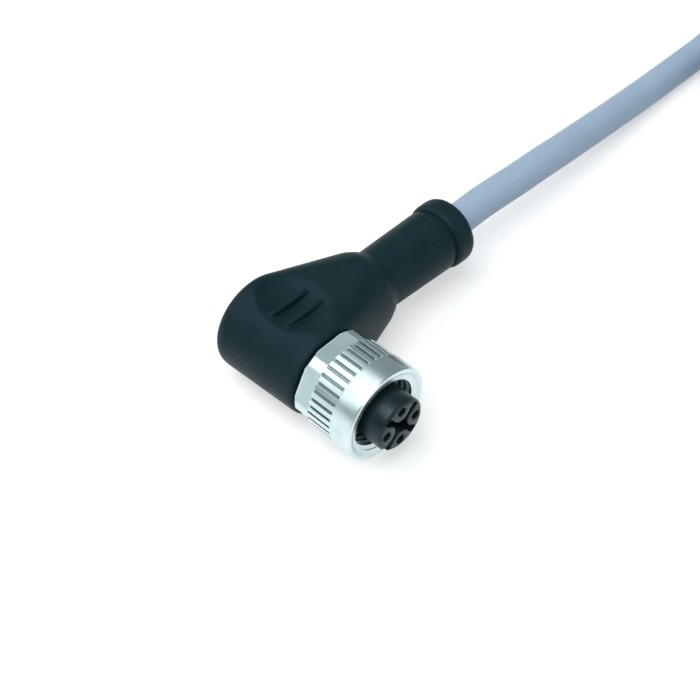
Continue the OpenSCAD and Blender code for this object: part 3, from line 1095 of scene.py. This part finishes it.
    def milled(self, nut: Piece) -> None:
        """Mills the six flats at the back, up to the open ends of the knurl's grooves.

        Args:
            nut: The nut.
        """
        inner = self.across_flats / 2 / math.cos(math.pi / 6)
        start, stop = self.knurl[1] - 0.05, self.length + 1
        cutter = Lathe(Axis.MATING, sides=6).turn(
            "flats", [(start, inner), (start, inner + 3), (stop, inner + 3), (stop, inner)], ring=True)
        Bench.swing(cutter, 30)
        Bench.combine(nut, cutter, Shaping.CUT)

    def build(self, palette: Palette) -> Piece:
        """Makes the nut.

        Args:
            palette: The finishes.

        Returns:
            The nut.
        """
        nut = self.blank()
        self.knurled(nut)
        self.threaded(nut)
        self.milled(nut)
        Bench.swing(nut, self.turn, slide=self.front)
        Bench.to_metres(nut, smooth_angle=18)
        present(nut, palette, Finish.NICKEL, Body.NUT, "coupling_nut")
        return nut


@dataclass
class Grip:
    """The moulded grip: head, tapering shoulder, strain relief with its end ring, dimples with ribs."""

    front: float = 13.9  # behind the insert's face
    back: float = 29.6
    front_radius: float = 7.3
    back_radius: float = 7.75
    shoulder_end: float = 16.6
    shoulder_radius: float = 6.3
    sleeve_radius: float = 4.76
    fillet: float = 1.0
    groove_radius: float = 4.65
    groove_width: float = 0.35
    ring_start: float = 30.6
    ring_radius: float = 5.35
    dimple_sphere: float = 11.3
    dimple_floor: float = 5.725  # above the cable's axis
    dimple_x: float = 0.95
    dimple_y: float = 21.4
    rib_pitch: float = 3.0
    rib_length: float = 6.9
    rib_radius: float = 0.4
    rib_height: float = 1.25
    neck_room: float = 4.28  # the radii of the hollows round what the grip holds, from here on
    catch_room: float = 4.88
    mould_room: float = 4.83
    mould_arm: float = 3.83
    cable_room: float = 2.63

    @property
    def along_cable(self) -> Lathe:
        """The lathe for shapes about the cable's axis."""
        return Lathe(Axis.CABLE, centre=(0, CABLE_Y, 0))

    def head(self, name: str, slack: float) -> Piece:
        """Turns the head.

        Args:
            name: The shape's name.
            slack: How much thinner it is than the finished head.

        Returns:
            The head.
        """
        narrow, wide = self.front_radius - slack, self.back_radius - slack
        return Lathe(Axis.MATING).turn(name, [
            *rounded((self.front, narrow - 0.4), (self.front + 0.4, narrow), 2, along=False),
            *rounded((self.back - 1.6, wide), (self.back, wide - 1.5), 4, along=True),
        ])

    def shoulder(self) -> Piece:
        """Stretches a skin over the head and the shoulder's round end.

        Returns:
            The shoulder.
        """
        end, radius = self.shoulder_end, self.shoulder_radius
        nose = self.along_cable.turn("nose", rounded((end - 2, radius), (end, radius - 2), 4, along=True))
        body = Bench.join([self.head("shoulder", 0.06), nose], "shoulder")
        Bench.enter(body, Pick.POINTS)
        bpy.ops.mesh.select_all(action="SELECT")
        bpy.ops.mesh.convex_hull()
        Bench.leave()
        return body

    def relief(self) -> Piece:
        """Turns the sleeve with the fillet at its root, up to the groove.

        Returns:
            The sleeve.
        """
        root, radius = self.shoulder_end, self.sleeve_radius
        return self.along_cable.turn("relief", [
            (root - 3, radius), (root - 3, 5.6),
            *rounded((root, 5.65), (root + self.fillet, radius), 4, along=False),
            (self.ring_start - self.groove_width, 5.0),
        ])

    def ring(self) -> Piece:
        """Turns the end ring with the bottom of the groove in front of it.

        Returns:
            The ring.
        """
        start, end, radius = self.ring_start, RELIEF_END, self.ring_radius
        return self.along_cable.turn("ring", [
            (start - 1.5, 4.3), (start - 1.5, self.groove_radius), (start, self.groove_radius),
            *rounded((start, radius - 0.62), (start + 0.95, radius), 4, along=False),
            *rounded((end - 1.3, radius), (end, radius - 1.1), 4, along=True),
        ])

    def dimples(self, grip: Piece) -> None:
        """Sinks a round dimple into the top and the underside.

        Args:
            grip: The grip.
        """
        for side in (1, -1):
            Bench.clear()
            place = (self.dimple_x, self.dimple_y, side * (self.dimple_floor + self.dimple_sphere))
            bpy.ops.mesh.primitive_uv_sphere_add(
                segments=96, ring_count=64, radius=self.dimple_sphere, location=place)
            Bench.combine(grip, Bench.adopt("dimple"), Shaping.CUT)

    def ribs(self) -> list[Piece]:
        """Makes the two ribs of each dimple, each from bars with round ends, one below the other.

        Returns:
            The bars.
        """
        radius = self.rib_radius
        start, stop = self.dimple_x - self.rib_length / 2, self.dimple_x + self.rib_length / 2
        stations = [
            (start, radius * 0.12), *rounded((start, 0), (start + radius, radius), 6, along=False)[1:],
            *rounded((stop - radius, radius), (stop, 0), 6, along=True)[:-1], (stop, radius * 0.12),
        ]
        bars = []
        for side in (1, -1):
            for lane in (-0.5, 0.5):
                for below in (1.0, 1.7, 2.4):
                    height = self.dimple_floor + self.rib_height - below * radius
                    centre = (0, self.dimple_y + lane * self.rib_pitch, side * height)
                    bars.append(Lathe(Axis.CABLE, 32, centre).turn("rib", stations))
        return bars

    def hollows(self, grip: Piece) -> None:
        """Cuts the hold of the insert, the room of the inner mould and the cable's way.

        Args:
            grip: The grip.
        """
        catch, behind, room = self.front + 0.87, self.front + 1.83, self.front + 2.6
        hold = Lathe(Axis.MATING).turn("hold", [
            (self.front - 1, self.neck_room), (catch, self.neck_room), (catch, self.catch_room),
            (behind, self.catch_room), (behind, self.neck_room), (room, self.neck_room),
            (room, self.mould_room), (CABLE_Y + self.mould_arm, self.mould_room),
        ])
        way = self.along_cable.turn("way", [
            (0, self.mould_arm), (12.53, self.mould_arm), (12.53, self.cable_room),
            (RELIEF_END + 1, self.cable_room),
        ])
        for tool in (hold, way):
            Bench.combine(grip, tool, Shaping.CUT)

    def build(self, palette: Palette) -> Piece:
        """Makes the grip.

        Args:
            palette: The finishes.

        Returns:
            The grip.
        """
        grip = Bench.join([self.head("head", 0.0), self.shoulder(), self.relief()], "grip")
        Bench.fuse(grip, voxel=0.25, passes=2)
        self.dimples(grip)
        Bench.fuse(grip, voxel=0.22, passes=8)
        grip = Bench.join([grip, *self.ribs()], "grip")
        Bench.fuse(grip, voxel=0.18, passes=2)
        Bench.combine(grip, self.ring(), Shaping.ADD)
        self.hollows(grip)
        Bench.to_metres(grip, smooth_angle=45)
        present(grip, palette, Finish.GRIP, Body.CONNECTOR, "overmould")
        return grip


@dataclass
class Insert:
    """The contact insert: face with four lands and a cross-shaped recess, keyway, flange and neck."""

    radius: float = 4.2
    body_end: float = 7.2
    flange: tuple[float, float] = (8.36, 10.16)
    flange_radius: float = 5.1
    neck_radius: float = 4.25
    catch: tuple[float, float] = (14.8, 15.7)
    catch_radius: float = 4.85
    back: float = 16.5
    entry: float = 0.725  # the radius of a contact hole's mouth
    entry_depth: float = 0.67
    chamber: float = 0.83
    crimp_start: float = 15.27
    crimp_room: float = 1.08
    cross_width: float = 1.15
    cross_depth: float = 2.0
    land: float = 1.6
    rim: float = 0.3
    key_width: float = 1.7
    key_depth: float = 0.8
    key_length: float = 6.0
    key_angle: float = 225.0

    def body(self) -> Piece:
        """Turns the insert from its face to its back.

        Returns:
            The solid insert.
        """
        radius, neck, flange, chamfer = self.radius, self.neck_radius, self.flange_radius, 0.08
        (start, stop), (catch, behind) = self.flange, self.catch
        return Lathe(Axis.MATING, 144).turn("insert_body", [
            (0.0, radius - 0.42), (0.03, radius - 0.34), (0.32, radius - 0.03), (0.42, radius),
            (self.body_end, radius), (self.body_end, radius - 0.2), (start, radius - 0.2),
            (start, flange - chamfer), (start + chamfer, flange), (stop - chamfer, flange),
            (stop, flange - chamfer), (stop, neck), (catch, neck), (catch, self.catch_radius),
            (behind, self.catch_radius), (behind, neck), (self.back, neck),
        ])

    @staticmethod
    def contact_places() -> list[tuple[float, float]]:
        """The contacts' x and z."""
        return [(x * CONTACT_RING, z * CONTACT_RING) for x, z in CONTACT_WAYS]

    def recess(self) -> Piece:
        """Makes the cutter for the cross between the lands.

        Returns:
            The cutter.
        """
        start, depth = -1.0, self.cross_depth
        reach, half = self.radius + 1, self.cross_width / 2
        cutter = Bench.pin("recess", (0, start, 0), CONTACT_RING / 2 + half, depth - start, 48)
        for angle in (45, -45):
            arm = Bench.block("arm", (-reach, start, -half), (reach, depth, half))
            Bench.swing(arm, angle)
            Bench.combine(cutter, arm, Shaping.ADD)
        length = depth - start + 2
        face = Bench.pin("face", (0, start - 1, 0), self.radius - self.rim, length, 96)
        Bench.combine(cutter, face, Shaping.TRIM)
        places = self.contact_places()
        lands = [Bench.pin("land", (x, start - 1, z), self.land, length, 50) for x, z in places]
        Bench.combine(cutter, Bench.join(lands, "lands"), Shaping.CUT)
        return cutter

    def holes(self) -> Piece:
        """Makes the cutters for the four contact holes, with their eased mouths.

        Returns:
            The joined cutters.
        """
        ease = 0.12
        stations = [
            (-0.5, self.entry + ease), (0.0, self.entry + ease), (ease, self.entry),
            (self.entry_depth, self.entry), (self.entry_depth, self.chamber),
            (self.crimp_start, self.chamber), (self.crimp_start, self.crimp_room),
            (self.back + 1, self.crimp_room),
        ]
        holes = [Lathe(Axis.MATING, 48, (x, 0, z)).turn("hole", stations) for x, z in self.contact_places()]
        return Bench.join(holes, "holes")

    def key(self) -> Piece:
        """Makes the cutter for the keyway.

        Returns:
            The cutter.
        """
        half = self.key_width / 2
        low = (self.radius - self.key_depth, -1, -half)
        high = (self.radius + 1, self.key_length + 1, half)
        cutter = Bench.block("key", low, high)
        Bench.swing(cutter, -self.key_angle)
        return cutter

    def build(self, palette: Palette) -> Piece:
        """Makes the insert.

        Args:
            palette: The finishes.

        Returns:
            The insert.
        """
        insert = self.body()
        for tool in (self.key(), self.recess()):
            Bench.combine(insert, tool, Shaping.CUT)
        Bench.break_edges(insert, width=0.15, segments=3)
        Bench.combine(insert, self.holes(), Shaping.CUT)
        Bench.to_metres(insert, smooth_angle=35)
        present(insert, palette, Finish.INSERT, Body.CONNECTOR, "contact_carrier")
        return insert


@dataclass
class Cores:
    """The four cores: inside the grip, and where they come out of the jacket's end."""

    cable: Cable = field(default_factory=Cable)
    diameter: float = 1.3
    strand: float = 0.75
    crimp_back: float = 18.2
    crimp: float = 1.7
    ring: float = 0.95  # how far a core lies from the cable's axis inside the grip
    bend: float = 1.9
    tail: float = 33.0
    bare: float = 6.0
    lie: float = 0.67  # how far a core lies from the cable's axis at the jacket's end
    settle: float = 10.0  # the length over which the cores sink onto the hank
    stack: float = 1.36
    splay: tuple[float, float] = (0.03, 0.75)  # how far the upper and the lower cores spread
    curl: float = 0.001
    steps: Sequence[float] = (0, 3, 7, 10, 13, 16, 20, 24)

    def inside(self, number: int, start: float) -> list[Point]:
        """Leads a core from its contact to its place in the cable.

        Args:
            number: Which core.
            start: Where it starts along the mating axis.

        Returns:
            Its points.
        """
        side, up = CONTACT_WAYS[number]
        x, z = side * CONTACT_RING, up * CONTACT_RING
        y, level = CABLE_Y - side * self.ring, up * self.ring
        bend = y - self.crimp_back - 0.5 if number == 0 else self.bend
        angles = [math.radians(15 * k) for k in range(7)]
        points = [(x, start, z)]
        points += [(x + bend * (1 - math.cos(a)), y - bend * (1 - math.sin(a)), z) for a in angles]
        straight = self.cable.start - 0.5 - x - bend
        for share in (0.2, 0.4, 0.6, 0.8, 1.0):
            points.append((x + bend + share * straight, y, z + eased(share) * (level - z)))
        return points + [(self.cable.start, y, level)]

    def outside(self, number: int, past: float) -> Point:
        """Finds the place of a core past the jacket's end.

        Args:
            number: Which core.
            past: How far along the core.

        Returns:
            The place.
        """
        low = number > 1
        side = (1, -1, -1, 1)[number]
        sunk = min(1.0, past / self.settle)
        spread = math.sin(math.radians(90 * max(0.0, past - self.settle) / (self.tail - self.settle)))
        top, lane = self.cable.hank_top, self.cable.lane_y - self.cable.diameter
        held = top - self.cable.diameter / 2 + (-self.lie if low else self.lie)
        bed = top - self.cable.diameter + self.diameter / 2 + self.cable.clearance
        laid = bed + (0 if low else self.stack - 0.2 * spread)
        y = lane - self.curl * past * past + side * (self.lie + self.splay[low] * spread)
        return (self.cable.jacket_end + past, y, (1 - sunk) * held + sunk * laid)

    @staticmethod
    def piece(name: str, routes: Sequence[Sequence[Point]], diameter: float) -> Piece:
        """Makes a core's insulation or its strands as a mesh.

        Args:
            name: The piece's name.
            routes: Its two stretches.
            diameter: Its thickness.

        Returns:
            The piece.
        """
        Bench.pick(Bench.sweep(name, routes, diameter, roundness=5))
        bpy.ops.object.convert(target="MESH")
        bpy.ops.object.shade_smooth_by_angle(angle=math.radians(40))
        return bpy.context.object

    def build(self, palette: Palette) -> list[Piece]:
        """Makes the cores and their strands.

        Args:
            palette: The finishes.

        Returns:
            The pieces.
        """
        made = []
        stripped = self.tail - self.bare
        bared = (stripped - 1, stripped, stripped + 2, stripped + 4, self.tail)
        for number, (name, finish) in enumerate(CORE_FINISHES.items()):
            cover = [self.outside(number, past) for past in (*self.steps, stripped)]
            ends = [self.inside(number, self.crimp_back + 0.1), cover]
            core = self.piece(f"core_{name}", ends, self.diameter)
            present(core, palette, finish, Body.CONNECTOR, f"wire_{name}")
            wire = [self.outside(number, past) for past in bared]
            ends = [self.inside(number, self.crimp_back - self.crimp + 0.03), wire]
            strands = self.piece(f"strands_{name}", ends, self.strand)
            present(strands, palette, Finish.TIN, Body.CONNECTOR, f"conductor_{name}")
            made += [core, strands]
        return made


@dataclass
class Tie:
    """The strap round the hank, with its locking head on top."""

    cable: Cable = field(default_factory=Cable)
    x: float = 133.0
    width: float = 4.8
    head_size: Point = (6.5, 6.0, 3.4)
    slot: tuple[float, float] = (0.9, 2.1)  # the heights between which the tail passes the head
    play: float = 0.05  # round the tail in its slot

    def strap(self, low: Point, high: Point) -> Piece:
        """Makes the band round the hank.

        Args:
            low: The lowest corner of the room inside it.
            high: The highest corner of that room.

        Returns:
            The band.
        """
        thick, wide = self.cable.tie, self.width / 2
        strap = Bench.block("strap", (self.x - wide, low[1] - thick, low[2] - thick),
                            (self.x + wide, high[1] + thick, high[2] + thick))
        Bench.enter(strap, Pick.EDGES)
        Bench.pick_edges(strap, lambda a, b, turn: abs(a.x - b.x) > 1)
        bpy.ops.mesh.bevel(offset=thick, segments=6, affect="EDGES")
        bpy.ops.object.mode_set(mode="OBJECT")
        Bench.combine(strap, Bench.block("room", low, high), Shaping.CUT)
        return strap

    def head(self, y: float, z: float) -> list[Piece]:
        """Makes the locking head and the strap's tail in it.

        Args:
            y: Where the head starts.
            z: The strap's upper side.

        Returns:
            The head and the tail.
        """
        half, depth, height = self.head_size[0] / 2, self.head_size[1], self.head_size[2]
        low, high = self.slot
        way, tail = self.width / 2 - 0.3, self.width / 2 - 0.3 - self.play
        head = Bench.block("head", (self.x - half, y, z - 0.1), (self.x + half, y + depth, z + height))
        slot = Bench.block("slot", (self.x - way, y - 1, z + low), (self.x + way, y + depth + 1, z + high))
        Bench.combine(head, slot, Shaping.CUT)
        end = Bench.block("tail", (self.x - tail, y + 0.2, z + low + self.play),
                          (self.x + tail, y + depth - 0.2, z + high - self.play))
        return [head, end]

    def build(self, palette: Palette) -> Piece:
        """Makes the strap with its head.

        Args:
            palette: The finishes.

        Returns:
            The strap.
        """
        cable = self.cable
        reach = cable.outer + cable.diameter / 2
        half = reach + cable.clearance
        top = cable.hank_top + cable.clearance
        strap = self.strap((self.x - 9, cable.hank_y - half, GROUND + cable.tie),
                           (self.x + 9, cable.hank_y + half, top))
        tie = Bench.join([strap, *self.head(cable.hank_y - reach / 2, top + cable.tie)], "tie_strap")
        Bench.break_edges(tie, width=0.15, segments=2)
        Bench.to_metres(tie, smooth_angle=40)
        present(tie, palette, Finish.TIE, Body.CONNECTOR, "cable_tie")
        return tie


@dataclass(frozen=True)
class Softbox:
    """One area lamp: the way that it lies from the connector, how far off, how large and how strong."""

    name: str
    way: Point
    distance: float
    size: float
    power: float

    def hang(self, target: Vector) -> None:
        """Hangs the lamp so that it faces a place.

        Args:
            target: The place, in metres.
        """
        data = bpy.data.lights.new(self.name, "AREA")
        data.shape = "SQUARE"
        data.size = self.size
        data.energy = self.power
        light = bpy.data.objects.new(self.name, data)
        bpy.context.scene.collection.objects.link(light)
        way = Vector(self.way).normalized()
        turn = way.to_track_quat("Z", "Y").to_matrix().to_4x4()
        light.matrix_world = Matrix.Translation(target + way * self.distance) @ turn


@dataclass
class Studio:
    """The pale floor, the plain level light and the softboxes."""

    floor_size: float = 6.0
    floor_centre: tuple[float, float] = (0.06, 0.01)
    paper: Paper = Paper()
    aim: Point = (15.0, 18.0, 0.0)
    level: float = 0.31
    tint: Colour = (0.80, 0.95, 1.0)
    lamps: Sequence[Softbox] = (
        Softbox("back", (-0.35, 0.7, 0.9), 1.5, 1.82, 12.5),
        Softbox("key", (-0.37, -0.12, 0.92), 1.5, 1.0, 15.5),
        Softbox("front", (0.35, -1.0, 0.35), 0.6, 0.35, 0.5),
    )

    def floor(self) -> None:
        """Lays the floor."""
        Bench.clear()
        bpy.ops.mesh.primitive_plane_add(size=self.floor_size, location=(*self.floor_centre, GROUND * MM))
        floor = Bench.adopt("floor")
        floor.data.materials.append(self.paper.make())

    def world(self) -> None:
        """Gives the level light, which the camera sees as white."""
        world = bpy.data.worlds.new("studio")
        world.use_nodes = True
        world.node_tree.nodes.clear()
        shader = Shader(world.node_tree)
        lit = shader.node("ShaderNodeBackground", {"Color": self.tint, "Strength": self.level})
        seen = shader.node("ShaderNodeBackground", {"Color": (1.0, 1.0, 1.0)})
        path = shader.node("ShaderNodeLightPath").outputs
        parts = {0: path["Is Camera Ray"], 1: lit.outputs[0], 2: seen.outputs[0]}
        mix = shader.node("ShaderNodeMixShader", parts)
        shader.node("ShaderNodeOutputWorld", {"Surface": mix.outputs[0]})
        bpy.context.scene.world = world

    def build(self) -> None:
        """Lays the floor and sets the light."""
        bpy.context.scene.view_settings.view_transform = "Standard"
        self.floor()
        self.world()
        for lamp in self.lamps:
            lamp.hang(Vector(self.aim) * MM)


def report(piece: Piece) -> None:
    """Says in the log of how many faces, or points of its curve, a finished piece is made.

    Args:
        piece: The piece.
    """
    if piece.type == "MESH":
        log.info("%s: %d faces", piece.name, len(piece.data.polygons))
    else:
        log.info("%s: %d points", piece.name, len(piece.data.splines[0].bezier_points))


def main() -> None:
    """Builds the connector piece by piece, reports each one, and sets up the studio."""
    logging.basicConfig(level=logging.INFO, format="%(name)s %(message)s")
    Camera().set_up()
    palette = Palette()
    cable = Cable()
    jacket = cable.build(palette)
    palette.lay_on_frame()
    nut = CouplingNut().build(palette)
    grip = Grip().build(palette)
    insert = Insert().build(palette)
    cores = Cores(cable).build(palette)
    tie = Tie(cable).build(palette)
    for piece in (jacket, nut, grip, insert, *cores, tie):
        report(piece)
    Studio().build()


if __name__ == "__main__":
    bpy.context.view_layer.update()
    main()
